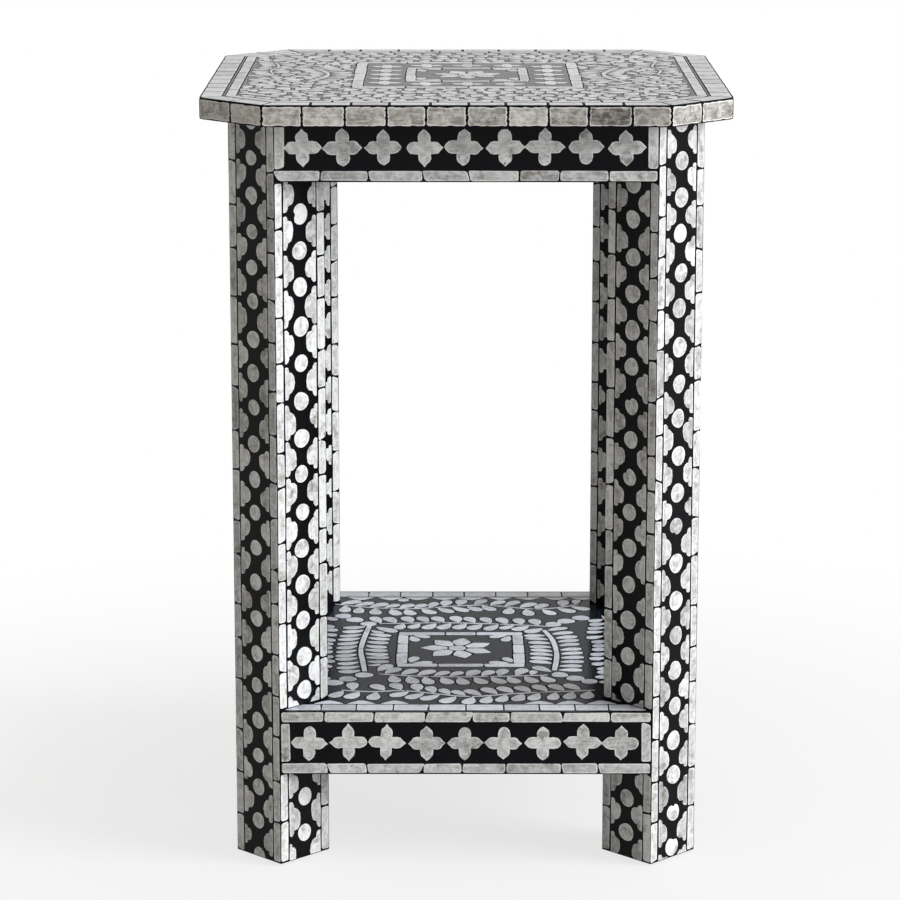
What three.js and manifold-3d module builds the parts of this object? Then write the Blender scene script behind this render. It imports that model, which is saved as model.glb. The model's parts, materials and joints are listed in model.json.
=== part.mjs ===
// Moroccan side stool (kursi) in black resin and bone inlay.
// A square top with cut corners stands on four square legs that are turned 45 degrees in plan. An apron ties
// the legs under the top, and a shallow box with a shelf ties them low down. Every outside face is a thin skin
// of resin and bone glued to a wooden core.
// Frame: millimetres, +Z up, +X to the right, -Y to the front, origin on the floor under the middle.

import * as THREE from 'three';
import { mergeVertices } from 'three/addons/utils/BufferGeometryUtils.js';
import Module from 'manifold-3d';

const wasm = await Module();
wasm.setup();

// Overall sizes
const stoolHeight = 595;
const tabletopWidth = 400;
const tabletopThickness = 16.4;
const tabletopOverhang = 20.9;
const tabletopCornerCut = 49;
const tabletopCornerRadius = 4;

// The skin of resin and bone, and the gap left at glued and slanting joints
const inlayThickness = 2.4;
const fitGap = 0.3;

// Legs, apron, and the lower box with its shelf
const legWidth = 50.8;
const apronHeight = 43.6;
const boardThickness = 18;
const shelfTopHeight = 125.4;
const lowerBoxHeight = 50.3;
const shelfThickness = 10;

// Loose tenons with rounded edges, one at each end of each apron and rail
const tenonThickness = 6;
const tenonHeight = 26;
const tenonDepthInBoard = 16;
const tenonDepthInLeg = 8.5;

// Cleats behind the legs, and the screws that hold the top down through them
const cleatWidth = 40;
const cleatDepth = 20;
const cleatHeight = 24;
const screwShankDiameter = 4;
const screwHeadDiameter = 8;
const screwHeadHeight = 2.5;
const screwPointLength = 4;
const screwDepthInTop = 9;

// Nylon glides under the legs
const glideDiameter = 28;
const glideThickness = 2;
const glideStemDiameter = 5;
const glideStemLength = 10;

// Segments of round pieces and of rounded corners
const roundSegments = 16;
const cornerSegments = 3;

// Places worked out from the sizes
const tabletopHalf = tabletopWidth / 2;
const frameFace = tabletopHalf - tabletopOverhang;
const boardFace = frameFace - inlayThickness;
const legAxis = frameFace - legWidth / Math.SQRT2;
const sleeveInnerHalf = legWidth / 2 - inlayThickness;
const postHalf = sleeveInnerHalf - fitGap;
const frameTop = stoolHeight - tabletopThickness;
const apronBottom = frameTop - apronHeight;
const lowerBoxBottom = shelfTopHeight - lowerBoxHeight;
const shelfBoardTop = shelfTopHeight - inlayThickness;
const railTop = shelfBoardTop - shelfThickness;
const boardMiddle = boardFace - boardThickness / 2;
const cleatAxis = legWidth / 2 + fitGap + cleatDepth / 2;

const wood = new THREE.MeshStandardMaterial({ color: 0x8a6239, roughness: 0.75, metalness: 0 });
const paintedWood = new THREE.MeshStandardMaterial({ color: 0x2a2826, roughness: 0.7, metalness: 0 });
const inlay = new THREE.MeshStandardMaterial({ color: 0x1d1e24, roughness: 0.25, metalness: 0 });
const boneTile = new THREE.MeshStandardMaterial({ color: 0xcfccc2, roughness: 0.3, metalness: 0 });
const steel = new THREE.MeshStandardMaterial({ color: 0x9c9c9c, roughness: 0.35, metalness: 1 });
const nylon = new THREE.MeshStandardMaterial({ color: 0x3a3632, roughness: 0.6, metalness: 0 });

// A closed geometry as a solid that can be cut
function toSolid(geometry) {
  const bare = geometry.clone();
  bare.deleteAttribute('normal');
  bare.deleteAttribute('uv');
  const merged = mergeVertices(bare);
  return new wasm.Manifold(new wasm.Mesh({
    numProp: 3,
    vertProperties: new Float32Array(merged.attributes.position.array),
    triVerts: new Uint32Array(merged.index.array),
  }));
}

// The geometry less every tool
function cutFrom(geometry, tools) {
  const cut = tools.reduce((rest, tool) => rest.subtract(toSolid(tool)), toSolid(geometry));
  const mesh = cut.getMesh();
  const result = new THREE.BufferGeometry();
  result.setAttribute('position', new THREE.BufferAttribute(mesh.vertProperties, 3));
  result.setIndex(new THREE.BufferAttribute(mesh.triVerts, 1));
  result.computeVertexNormals();
  return result;
}

function addPiece(parent, name, geometry, material) {
  const piece = new THREE.Mesh(geometry, material);
  piece.name = name;
  parent.add(piece);
  return piece;
}

// A flat plate with the given outline, from bottom to top
function plate(shape, bottom, top) {
  const geometry = new THREE.ExtrudeGeometry(shape, {
    depth: top - bottom,
    bevelEnabled: false,
    curveSegments: cornerSegments,
  });
  return geometry.translate(0, 0, bottom);
}

// A box that stands on the given height, centred on the Z axis
function uprightBox(width, depth, bottom, top) {
  return new THREE.BoxGeometry(width, depth, top - bottom).translate(0, 0, (bottom + top) / 2);
}

// A path through corner points that are rounded where a radius is given
function traceOutline(path, corners, radius) {
  const count = corners.length;
  corners.forEach((corner, index) => {
    const before = corners[(index + count - 1) % count];
    const after = corners[(index + 1) % count];
    const start = corner.clone().add(before.clone().sub(corner).setLength(radius));
    const end = corner.clone().add(after.clone().sub(corner).setLength(radius));
    if (index === 0) path.moveTo(start.x, start.y);
    else path.lineTo(start.x, start.y);
    path.quadraticCurveTo(corner.x, corner.y, end.x, end.y);
  });
  path.closePath();
  return path;
}

// The corners of the top's outline, drawn in by an even inset
function tabletopCorners(inset) {
  const half = tabletopHalf - inset;
  const cut = tabletopCornerCut - inset * (2 - Math.SQRT2);
  return [0, 1, 2, 3].flatMap((quarter) => [
    new THREE.Vector2(half - cut, -half),
    new THREE.Vector2(half, cut - half),
  ].map((corner) => corner.rotateAround(new THREE.Vector2(), quarter * Math.PI / 2)));
}

function tabletopShape(inset) {
  return traceOutline(new THREE.Shape(), tabletopCorners(inset), tabletopCornerRadius);
}

// An upright board along the front, with both ends cut parallel to the legs' faces.
// Its half length at depth y is y less the distance legClear from the leg's axis, measured along the front.
function mitredBoard(outer, inner, legClear, bottom, top) {
  const shortening = legClear * Math.SQRT2;
  return plate(new THREE.Shape([
    new THREE.Vector2(shortening - outer, -outer),
    new THREE.Vector2(outer - shortening, -outer),
    new THREE.Vector2(inner - shortening, -inner),
    new THREE.Vector2(shortening - inner, -inner),
  ]), bottom, top);
}

// A flat sheet that fills the frame inside boardFace and is notched round the four legs
function notchedSheet(bottom, top) {
  const notchReach = (legWidth / 2 + fitGap) * Math.SQRT2;
  const corners = [0, 1, 2, 3].flatMap((quarter) => [
    new THREE.Vector2(boardFace - notchReach, -boardFace),
    new THREE.Vector2(legAxis - notchReach, -legAxis),
    new THREE.Vector2(legAxis, notchReach - legAxis),
    new THREE.Vector2(boardFace, notchReach - boardFace),
  ].map((corner) => corner.rotateAround(new THREE.Vector2(), quarter * Math.PI / 2)));
  return plate(new THREE.Shape(corners), bottom, top);
}

// A loose tenon along X with its middle at the origin, grown on every side by grow
function tenonBlock(grow) {
  const half = tenonThickness / 2 + grow;
  const straightHalf = (tenonHeight - tenonThickness) / 2;
  const length = tenonDepthInBoard + tenonDepthInLeg + 2 * grow;
  const slot = new THREE.Shape();
  slot.absarc(0, straightHalf, half, 0, Math.PI, false);
  slot.absarc(0, -straightHalf, half, Math.PI, 2 * Math.PI, false);
  const geometry = new THREE.ExtrudeGeometry(slot, {
    depth: length,
    bevelEnabled: false,
    curveSegments: cornerSegments + 1,
  });
  const alongX = new THREE.Matrix4().makeBasis(
    new THREE.Vector3(0, 1, 0), new THREE.Vector3(0, 0, 1), new THREE.Vector3(1, 0, 0));
  return geometry.translate(0, 0, -length / 2).applyMatrix4(alongX);
}

// The middles of the two tenons of a board of the front side, left one first
function tenonPlaces(bottom, top) {
  const legFaceAtMiddle = boardMiddle - postHalf * Math.SQRT2;
  const reach = legFaceAtMiddle + tenonDepthInLeg - (tenonDepthInBoard + tenonDepthInLeg) / 2;
  return [-1, 1].map((sign) => new THREE.Vector3(sign * reach, -boardMiddle, (bottom + top) / 2));
}

const tieLevels = [
  { kind: 'apron', bottom: apronBottom, top: frameTop, skinTop: frameTop },
  { kind: 'rail', bottom: lowerBoxBottom, top: railTop, skinTop: shelfTopHeight },
];

// Legs: the four corners are one corner turned by quarters
const cornerPlace = new THREE.Matrix4().makeRotationZ(-Math.PI / 4).setPosition(-legAxis, -legAxis, 0);
const intoCorner = cornerPlace.clone().invert();

// The tools that a front board makes in a leg, and those of the board on the leg's other side
function inCorner(makeTool) {
  return [0, -Math.PI / 2].map((turn) => makeTool().rotateZ(turn).applyMatrix4(intoCorner));
}

function mortiseTools() {
  return tieLevels.flatMap(({ bottom, top }) => tenonPlaces(bottom, top).flatMap((place) => (
    inCorner(() => tenonBlock(fitGap).translate(place.x, place.y, place.z)))));
}

function glideProfile(grow) {
  return [
    new THREE.Vector2(0, 0),
    new THREE.Vector2(glideDiameter / 2 + grow, 0),
    new THREE.Vector2(glideDiameter / 2 + grow, glideThickness),
    new THREE.Vector2(glideStemDiameter / 2 + grow, glideThickness),
    new THREE.Vector2(glideStemDiameter / 2 + grow, glideThickness + glideStemLength + grow),
    new THREE.Vector2(0, glideThickness + glideStemLength + grow),
  ];
}

function screwProfile(grow) {
  const tip = cleatHeight + screwDepthInTop + grow;
  const shank = screwShankDiameter / 2 + grow;
  return [
    new THREE.Vector2(0, 0),
    new THREE.Vector2(screwHeadDiameter / 2 + grow, 0),
    new THREE.Vector2(shank, screwHeadHeight + grow),
    new THREE.Vector2(shank, tip - screwPointLength),
    new THREE.Vector2(0, tip),
  ];
}

// A round piece about the Z axis from a profile that starts and ends on it
function turned(profile) {
  return new THREE.LatheGeometry(profile, roundSegments).rotateX(Math.PI / 2);
}

const postGeometry = cutFrom(
  uprightBox(2 * postHalf, 2 * postHalf, glideThickness, frameTop),
  [...mortiseTools(), turned(glideProfile(fitGap))]);

const sleeveWindows = tieLevels.flatMap(({ bottom, top }) => inCorner(() => (
  mitredBoard(boardFace + fitGap, boardFace - boardThickness - fitGap, postHalf, bottom - fitGap, top + fitGap))));

const sleeveGeometry = cutFrom(
  uprightBox(legWidth, legWidth, glideThickness, frameTop),
  [uprightBox(2 * sleeveInnerHalf, 2 * sleeveInnerHalf, glideThickness - fitGap, frameTop + fitGap), ...sleeveWindows]);

const screwBase = frameTop - cleatHeight;
const cleatGeometry = cutFrom(
  uprightBox(cleatWidth, cleatDepth, screwBase, frameTop),
  [turned(screwProfile(fitGap)).translate(0, 0, screwBase)]);

function buildCorner(name) {
  const corner = new THREE.Group();
  addPiece(corner, `${name}_leg_post`, postGeometry, wood);
  addPiece(corner, `${name}_leg_inlay`, sleeveGeometry, inlay);
  addPiece(corner, `${name}_cleat`, cleatGeometry, paintedWood).position.y = cleatAxis;
  addPiece(corner, `${name}_top_screw`, turned(screwProfile(0)), steel).position.set(0, cleatAxis, screwBase);
  addPiece(corner, `${name}_foot_glide`, turned(glideProfile(0)), nylon);
  corner.applyMatrix4(cornerPlace);
  return corner;
}

// Sides: the four sides are the front one turned by quarters
function buildSide(name) {
  const side = new THREE.Group();
  for (const { kind, bottom, top, skinTop } of tieLevels) {
    const places = tenonPlaces(bottom, top);
    const mortises = places.map((place) => tenonBlock(fitGap).translate(place.x, place.y, place.z));
    const board = mitredBoard(boardFace, boardFace - boardThickness, sleeveInnerHalf, bottom, top);
    addPiece(side, `${name}_${kind}_board`, cutFrom(board, mortises), paintedWood);
    const skin = mitredBoard(frameFace, boardFace, legWidth / 2 + fitGap, bottom, skinTop);
    addPiece(side, `${name}_${kind}_inlay`, skin, inlay);
    places.forEach((place, index) => {
      const end = ['left', 'right'][index];
      addPiece(side, `${name}_${kind}_tenon_${end}`, tenonBlock(0), wood).position.copy(place);
    });
  }
  return side;
}

// The lower shelf and the top
function buildShelf() {
  const shelf = new THREE.Group();
  addPiece(shelf, 'shelf_board', notchedSheet(railTop, shelfBoardTop), wood);
  addPiece(shelf, 'shelf_inlay', notchedSheet(shelfBoardTop, shelfTopHeight), inlay);
  return shelf;
}

function buildTabletop() {
  const tabletop = new THREE.Group();
  const boardTop = stoolHeight - inlayThickness;
  const cleatDistance = legAxis - cleatAxis / Math.SQRT2;
  const screwHoles = [-1, 1].flatMap((right) => [-1, 1].map((back) => (
    turned(screwProfile(fitGap)).translate(right * cleatDistance, back * cleatDistance, screwBase))));
  const board = plate(tabletopShape(inlayThickness + fitGap), frameTop, boardTop);
  addPiece(tabletop, 'tabletop_board', cutFrom(board, screwHoles), paintedWood);
  const ring = tabletopShape(0);
  ring.holes.push(traceOutline(new THREE.Path(), tabletopCorners(inlayThickness), tabletopCornerRadius));
  addPiece(tabletop, 'tabletop_edge_tiles', plate(ring, frameTop, boardTop), boneTile);
  addPiece(tabletop, 'tabletop_inlay', plate(tabletopShape(0), boardTop, stoolHeight), inlay);
  return tabletop;
}

const stool = new THREE.Group();
['front_left', 'front_right', 'back_right', 'back_left'].forEach((name, quarter) => {
  const turn = new THREE.Group();
  turn.add(buildCorner(name));
  turn.rotation.z = quarter * Math.PI / 2;
  stool.add(turn);
});
['front', 'right', 'back', 'left'].forEach((name, quarter) => {
  const side = buildSide(name);
  side.rotation.z = quarter * Math.PI / 2;
  stool.add(side);
});
stool.add(buildShelf(), buildTabletop());

export default stool;
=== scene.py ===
# %% [markdown]
# # A Moroccan kursi stool in black resin and bone
# The stool is a plain wooden frame under a thin skin. On the real one a craftsman saws and files hundreds of
# small bone pieces, glues them to the wood in a pattern, floods the gaps with black resin, and sands and
# polishes the whole until it is flat. This script keeps the wooden frame as it is packed and makes the skin:
# every bone piece is a small plate of its own, so the pattern is real geometry and not a picture.

# %% Load the frame
import json

import bpy
import numpy as np
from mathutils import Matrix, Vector


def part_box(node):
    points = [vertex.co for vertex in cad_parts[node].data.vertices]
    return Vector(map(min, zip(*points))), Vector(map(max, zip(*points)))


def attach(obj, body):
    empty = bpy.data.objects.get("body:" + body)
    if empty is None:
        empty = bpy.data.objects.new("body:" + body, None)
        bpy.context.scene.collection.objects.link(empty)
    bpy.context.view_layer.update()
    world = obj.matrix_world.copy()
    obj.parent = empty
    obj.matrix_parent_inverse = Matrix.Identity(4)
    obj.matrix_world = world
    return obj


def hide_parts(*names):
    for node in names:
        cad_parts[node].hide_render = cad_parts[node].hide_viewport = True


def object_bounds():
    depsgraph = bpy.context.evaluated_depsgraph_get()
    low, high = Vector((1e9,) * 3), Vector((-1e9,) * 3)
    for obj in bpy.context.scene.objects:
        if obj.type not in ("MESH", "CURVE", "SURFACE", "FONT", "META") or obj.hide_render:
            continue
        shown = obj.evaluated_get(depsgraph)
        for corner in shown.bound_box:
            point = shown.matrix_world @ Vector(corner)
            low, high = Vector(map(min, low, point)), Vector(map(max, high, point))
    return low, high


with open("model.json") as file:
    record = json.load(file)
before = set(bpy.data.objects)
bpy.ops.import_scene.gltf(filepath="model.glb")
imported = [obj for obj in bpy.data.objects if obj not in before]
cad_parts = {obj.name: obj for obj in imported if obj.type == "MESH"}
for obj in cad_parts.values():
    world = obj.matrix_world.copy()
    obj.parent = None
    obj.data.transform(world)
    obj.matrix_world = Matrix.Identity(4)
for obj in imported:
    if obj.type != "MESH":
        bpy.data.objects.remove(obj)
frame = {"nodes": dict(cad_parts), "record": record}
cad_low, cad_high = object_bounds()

mm = 0.001
rng = np.random.default_rng(2024)
print("CAD box", [round(v, 4) for v in cad_low], [round(v, 4) for v in cad_high])

# %% [markdown]
# The pattern has to fit the frame, so its sizes are read from the boxes of the nodes. Only the corner cut of
# the top can't be read from a box, so it is named here.

# %% Sizes of the frame
def node_box(name):
    return [np.array(corner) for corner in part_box(name)]


apron_low, apron_high = node_box("front_apron_inlay")
rail_low, rail_high = node_box("front_rail_inlay")
leg_low, leg_high = node_box("front_left_leg_inlay")
shelf_low, shelf_high = node_box("shelf_inlay")
bed_bottom = node_box("tabletop_edge_tiles")[0][2]
board_high = node_box("tabletop_board")[1]
frame_face = -apron_low[1]
leg_axis = -(leg_low[0] + leg_high[0]) / 2
leg_width = (leg_high[0] - leg_low[0]) / np.sqrt(2)
top_half = cad_high[0]
top_height = cad_high[2]
corner_cut = 49 * mm
print("leg width", round(leg_width, 4), "frame face", round(frame_face, 4), "shelf", round(shelf_high[2], 4))

# %% [markdown]
# The camera stands in front of the stool and looks down on it a little, from far away with a long lens. That
# keeps the legs nearly parallel, as they are in the photograph.

# %% Camera
degrees_down = 12.07
camera_data = bpy.data.cameras.new("camera")
camera_data.lens = 136.9
camera_data.shift_y = -0.03
camera_data.clip_end = 100
camera = bpy.data.objects.new("camera", camera_data)
camera.location = (-7.8 * mm, -2704 * mm, 891.9 * mm)
camera.rotation_euler = np.radians((90 - degrees_down, 0, 0.1))
bpy.context.scene.collection.objects.link(camera)
bpy.context.scene.camera = camera
bpy.context.scene.view_settings.view_transform = "Standard"
print("camera at", tuple(round(v, 3) for v in camera.location))

# %% [markdown]
# A material is a small graph of nodes. This class adds a node and connects its inputs in one line, so that
# each finish below reads from top to bottom like a recipe.

# %% Node helpers
class Graph:
    """A shader graph, whose methods each add a node and give back one of its outputs."""

    def __init__(self, tree):
        self.tree = tree

    def add(self, kind, output=0, settings=None, **inputs):
        """A node with its settings by attribute name and its inputs by socket name, or by number as in0, in1
        and so on. An output socket is linked, and any other value is set on the input itself. With output
        None, all outputs come back."""
        made = self.tree.nodes.new("ShaderNode" + kind)
        for key, value in (settings or {}).items():
            setattr(made, key, value)
        for key, value in inputs.items():
            numbered = key.startswith("in") and key[2:].isdigit()
            socket = made.inputs[int(key[2:]) if numbered else key.replace("_", " ")]
            if isinstance(value, bpy.types.NodeSocket):
                self.tree.links.new(value, socket)
            else:
                socket.default_value = value
        return made.outputs if output is None else made.outputs[output]

    def math(self, operation, *values, clamp=False):
        inputs = {f"in{number}": value for number, value in enumerate(values)}
        return self.add("Math", 0, {"operation": operation, "use_clamp": clamp}, **inputs)

    def ramp(self, value, low, high):
        """Zero below low, one above high and smooth between. It falls instead where low is above high."""
        settings = {"interpolation_type": "SMOOTHSTEP"}
        return self.add("MapRange", "Result", settings, Value=value, From_Min=low, From_Max=high)

    def mix(self, share, first, second):
        """From the first colour to the second, each a socket or its red, green and blue."""
        first, second = ((*shade, 1.0) if isinstance(shade, tuple) else shade for shade in (first, second))
        return self.add("Mix", 2, {"data_type": "RGBA"}, in0=share, in6=first, in7=second)

    def noise(self, place, scale, detail, roughness=0.5, distortion=0.0):
        return self.add("TexNoise", "Fac", Vector=place, Scale=scale, Detail=detail, Roughness=roughness,
                        Distortion=distortion)

    def stretched(self, place, scale, turn=(0, 0, 0)):
        return self.add("Mapping", Vector=place, Scale=scale, Rotation=turn)

    def object_place(self):
        return self.add("TexCoord", "Object")


def new_material(name):
    material = bpy.data.materials.new(name)
    material.use_nodes = True
    return material, Graph(material.node_tree), material.node_tree.nodes["Principled BSDF"].inputs


def new_group(name, inputs, outputs):
    """A node group, given the names of its inputs and outputs: its graph, the sockets that bring its inputs
    and those that take its outputs. An input named Vector is a vector, and everything else is a number."""
    tree = bpy.data.node_groups.new(name, "ShaderNodeTree")
    for direction, keys in (("INPUT", inputs), ("OUTPUT", outputs)):
        for key in keys:
            kind = "NodeSocketVector" if key == "Vector" else "NodeSocketFloat"
            tree.interface.new_socket(name=key, in_out=direction, socket_type=kind)
    return Graph(tree), tree.nodes.new("NodeGroupInput").outputs, tree.nodes.new("NodeGroupOutput").inputs


print("node helpers ready")

# %% [markdown]
# Camel bone is dense and pale, with darker clouds, thin fibres along its length, brown stains, and a few
# pores and hair cracks that the resin has filled. The sawn plates are a few centimetres long, so the clouds
# are some millimetres wide. The group works in the piece's own coordinates, where one unit is 100 mm, so the
# fibres run along each piece whichever way it is laid.

# %% Shader group: the figure of bone
figure_keys = ("Clouds", "Fibres", "Stains", "Pits", "Height")
figure, taken, given = new_group("bone_figure", ("Vector", "Tone"), figure_keys)
tone_shift = figure.add("CombineXYZ", Z=figure.math("MULTIPLY", taken["Tone"], 7.0))
place = figure.add("VectorMath", in0=taken["Vector"], in1=tone_shift)
clouds = figure.noise(place, 16.0, 3.5, 0.58, 0.9)
fibres = figure.noise(figure.stretched(place, (9.0, 70.0, 9.0)), 1.0, 3.0, 0.55, 0.4)
stains = figure.noise(place, 9.0, 3.0, 0.6)
pores = figure.noise(place, 70.0, 1.0)
crack_noise = figure.noise(place, 14.0, 4.0, 0.7, 1.2)
off_middle = figure.math("ABSOLUTE", figure.math("SUBTRACT", crack_noise, 0.5))
cracks = figure.math("MULTIPLY", figure.ramp(off_middle, 0.012, 0.002), figure.ramp(stains, 0.52, 0.60))
pits = figure.math("MAXIMUM", figure.ramp(pores, 0.70, 0.76), cracks)
height = figure.math("SUBTRACT", figure.math("MULTIPLY", fibres, 0.3), pits)
figures = (figure.ramp(clouds, 0.3, 0.7), figure.ramp(fibres, 0.3, 0.7), figure.ramp(stains, 0.56, 0.72),
           pits, height)
for key, value in zip(figure_keys, figures):
    figure.tree.links.new(value, given[key])
print("group", figure.tree.name, "with", len(figure.tree.nodes), "nodes")

# %% [markdown]
# Anything polished by hand keeps faint hazy patches and hairlines that only show in the gloss. This group
# gives both, and every polished finish takes them with its own strength.

# %% Shader group: hand polish
polish, taken, given = new_group("hand_polish", ("Vector", "Scale"), ("Haze", "Hairlines"))
scaled = polish.add("VectorMath", 0, {"operation": "SCALE"}, in0=taken["Vector"], Scale=taken["Scale"])
hairs = polish.noise(polish.stretched(scaled, (1.0, 24.0, 3.0), (0.3, 0.2, 0.6)), 2.0, 2.0)
polish.tree.links.new(polish.noise(scaled, 1.0, 4.0, 0.6), given["Haze"])
polish.tree.links.new(polish.ramp(hairs, 0.66, 0.76), given["Hairlines"])
print("group", polish.tree.name, "with", len(polish.tree.nodes), "nodes")

# %% [markdown]
# One recipe serves all the bone. Tone is a number that each piece carries for itself, so that no two neighbours
# match. Rim is one on the edge of a piece and zero inside, and the bone there is painted paler: a painted
# highlight round the edge of every piece.

# %% Material: bone
def dress(graph, surface, tint, haze, haze_share, roughness, bumps=None, strength=0.0, depth=0.0):
    """Connects a colour, a roughness plus a share of haze, and bumps of a strength and depth."""
    made = {"Base Color": tint, "Roughness": graph.math("MULTIPLY_ADD", haze, haze_share, roughness)}
    if bumps is not None:
        made["Normal"] = graph.add("Bump", Strength=strength, Distance=depth, Height=bumps)
    for key, value in made.items():
        graph.tree.links.new(value, surface[key])


def bone_material(name, pale, dark, cloud_share, stain_share, rim_highlight_share, roughness):
    material, graph, surface = new_material(name)
    grain = graph.add("UVMap", "UV", {"uv_map": "grain"})
    tone = graph.add("Attribute", "Fac", {"attribute_name": "tone"})
    rim = graph.ramp(graph.add("Attribute", "Fac", {"attribute_name": "rim"}), 0.15, 0.5)
    bone = graph.add("Group", None, {"node_tree": figure.tree}, Vector=grain, Tone=tone)
    haze = graph.add("Group", "Haze", {"node_tree": polish.tree}, Vector=grain, Scale=60.0)
    shade = graph.math("MULTIPLY", bone["Clouds"], cloud_share)
    shade = graph.math("MULTIPLY_ADD", bone["Fibres"], cloud_share / 2, shade)
    shade = graph.math("MULTIPLY_ADD", tone, 0.15, shade)
    # The paler edge band is a painted highlight, taken off the shade of the bone.
    shade = graph.math("MULTIPLY_ADD", rim, -rim_highlight_share, shade, clamp=True)
    tint = graph.mix(shade, pale, dark)
    tint = graph.mix(graph.math("MULTIPLY", bone["Stains"], stain_share), tint, (0.16, 0.125, 0.09))
    tint = graph.mix(graph.math("MULTIPLY", bone["Pits"], 0.85), tint, (0.03, 0.028, 0.027))
    dress(graph, surface, tint, haze, 0.25, roughness - 0.12, bone["Height"], 0.25, 0.15 * mm)
    surface["Specular IOR Level"].default_value = 0.25
    return material


pale_bone = bone_material("pale_bone", (0.73, 0.725, 0.715), (0.14, 0.134, 0.125), 0.45, 0.60, 0.30, 0.34)
edge_bone = bone_material("edge_bone", (0.67, 0.645, 0.60), (0.09, 0.08, 0.07), 0.54, 0.50, 0.60, 0.32)
top_bone = bone_material("top_bone", (0.72, 0.73, 0.725), (0.13, 0.13, 0.135), 0.42, 0.35, 0.30, 0.30)
# The shelf's copy is paler and bluer than the other bone, to make up for the shade under the top: painted
# light.
shelf_bone = bone_material("shelf_bone", (0.88, 0.91, 1.00), (0.22, 0.23, 0.28), 0.26, 0.26, 0.20, 0.30)
print("bone finishes:", pale_bone.name, edge_bone.name, top_bone.name, shelf_bone.name)

# %% [markdown]
# The resin is black with a trace of blue, cast and polished, so its colour hardly varies and its gloss does.

# %% Material: black resin
def resin_material(name, base, dust_share, roughness, gloss):
    material, graph, surface = new_material(name)
    place = graph.object_place()
    worn = graph.add("Group", None, {"node_tree": polish.tree}, Vector=place, Scale=120.0)
    dust = graph.ramp(graph.noise(place, 380.0, 2.0), 0.62, 0.8)
    tint = graph.mix(graph.math("MULTIPLY", dust, dust_share), base, (0.25, 0.25, 0.27))
    scratched = graph.math("MULTIPLY_ADD", worn["Hairlines"], 0.12, roughness - 0.1)
    dress(graph, surface, tint, worn["Haze"], 0.22, scratched, worn["Haze"], 0.12, 0.1 * mm)
    surface["Specular IOR Level"].default_value = gloss
    return material


black_resin = resin_material("black_resin", (0.0030, 0.0029, 0.0042), 0.05, 0.19, 0.075)
glue_line = resin_material("glue_line", (0.0060, 0.0060, 0.0080), 0.04, 0.60, 0.0)
top_resin = resin_material("top_resin", (0.0060, 0.0080, 0.0140), 0.03, 0.17, 0.018)
waxed_resin = resin_material("waxed_resin", (0.0060, 0.0086, 0.0165), 0.03, 0.17, 0.024)
print("resin finishes:", black_resin.name, glue_line.name, top_resin.name, waxed_resin.name)

# %% [markdown]
# Wood shows only underneath and inside, where boards are painted black by brush. The grain stands up through
# the paint. Screws and glides are small, but a close view from below reaches them.

# %% Materials: hidden wood, screws and glides
def wood_material(name, light, dark, grain_scale, roughness, bump_strength):
    material, graph, surface = new_material(name)
    rings = graph.noise(graph.stretched(graph.object_place(), grain_scale), 1.0, 5.0, 0.65, 0.8)
    grain = graph.ramp(rings, 0.35, 0.68)
    tint = graph.mix(grain, light, dark)
    dress(graph, surface, tint, grain, 0.2, roughness, grain, bump_strength, 0.3 * mm)
    return material


def speckled_material(name, base, spot, scale, roughness, metallic):
    material, graph, surface = new_material(name)
    speckle = graph.ramp(graph.noise(graph.object_place(), scale, 4.0), 0.35, 0.7)
    dress(graph, surface, graph.mix(speckle, base, spot), speckle, 0.15, roughness)
    surface["Metallic"].default_value = metallic
    return material


raw_wood = wood_material("raw_wood", (0.42, 0.27, 0.14), (0.24, 0.13, 0.06), (90.0, 90.0, 8.0), 0.6, 0.4)
painted_wood = wood_material("painted_wood", (0.030, 0.028, 0.027), (0.016, 0.015, 0.015),
                             (12.0, 130.0, 130.0), 0.42, 0.6)
zinc_screw = speckled_material("zinc_screw", (0.55, 0.54, 0.52), (0.36, 0.35, 0.33), 900.0, 0.3, 1.0)
nylon = speckled_material("nylon", (0.06, 0.055, 0.05), (0.035, 0.032, 0.03), 500.0, 0.45, 0.0)
slot_finish = {"wooden_core": raw_wood, "painted_wood": painted_wood, "resin_inlay": black_resin,
               "bone_tile": edge_bone, "steel_screw": zinc_screw, "nylon_glide": nylon}
for part in frame["record"]["subparts"]:
    carried = frame["nodes"][part["node"]].data
    carried.materials.clear()
    finish = waxed_resin if part["node"] == "shelf_inlay" else slot_finish[part["material_slot"]]
    carried.materials.append(finish)
print("finishes on", len(frame["nodes"]), "frame nodes")

# %% [markdown]
# Now the outlines. Every kind of bone piece is one closed outline of a few points around its own middle or
# root, with x along the bone's fibres. The functions take arrays of sizes and give back all the pieces at
# once, as an array of pieces by points by two. These first ones turn, measure and vary such arrays.

# %% Points and directions
def pairs(x, y):
    """Points from their x and their y, each an array or one number."""
    return np.stack(np.broadcast_arrays(x, y), -1)


def towards(angle):
    """The step of length one at an angle."""
    return pairs(np.cos(angle), np.sin(angle))


def turned(points, angle):
    """The points turned about zero by angle a: x cos a - y sin a, and x sin a + y cos a."""
    x, y = points[..., 0], points[..., 1]
    return pairs(x * np.cos(angle) - y * np.sin(angle), x * np.sin(angle) + y * np.cos(angle))


def unit(steps):
    """The steps, each with its length made one."""
    return steps / np.maximum(np.linalg.norm(steps, axis=-1, keepdims=True), 1e-9)


def circle_angles(count):
    return np.linspace(0, 2 * np.pi, count, endpoint=False)


def about(mean, spread, count):
    """Sizes that vary evenly about a mean, by up to spread to either side."""
    return mean + spread * rng.uniform(-1, 1, count)


def filed(outlines, amount):
    """The outlines with each point moved at random by up to amount."""
    return outlines + rng.uniform(-amount, amount, outlines.shape)


print("a step of one at 90 degrees:", towards(np.pi / 2).round(3))

# %% [markdown]
# Discs fill the columns of the legs, and bars the strips along every edge. A disc is drilled out of the bone
# with a hollow cutter, and a bar is sawn. Neither comes out exact, so each outline is a little uneven.

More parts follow.
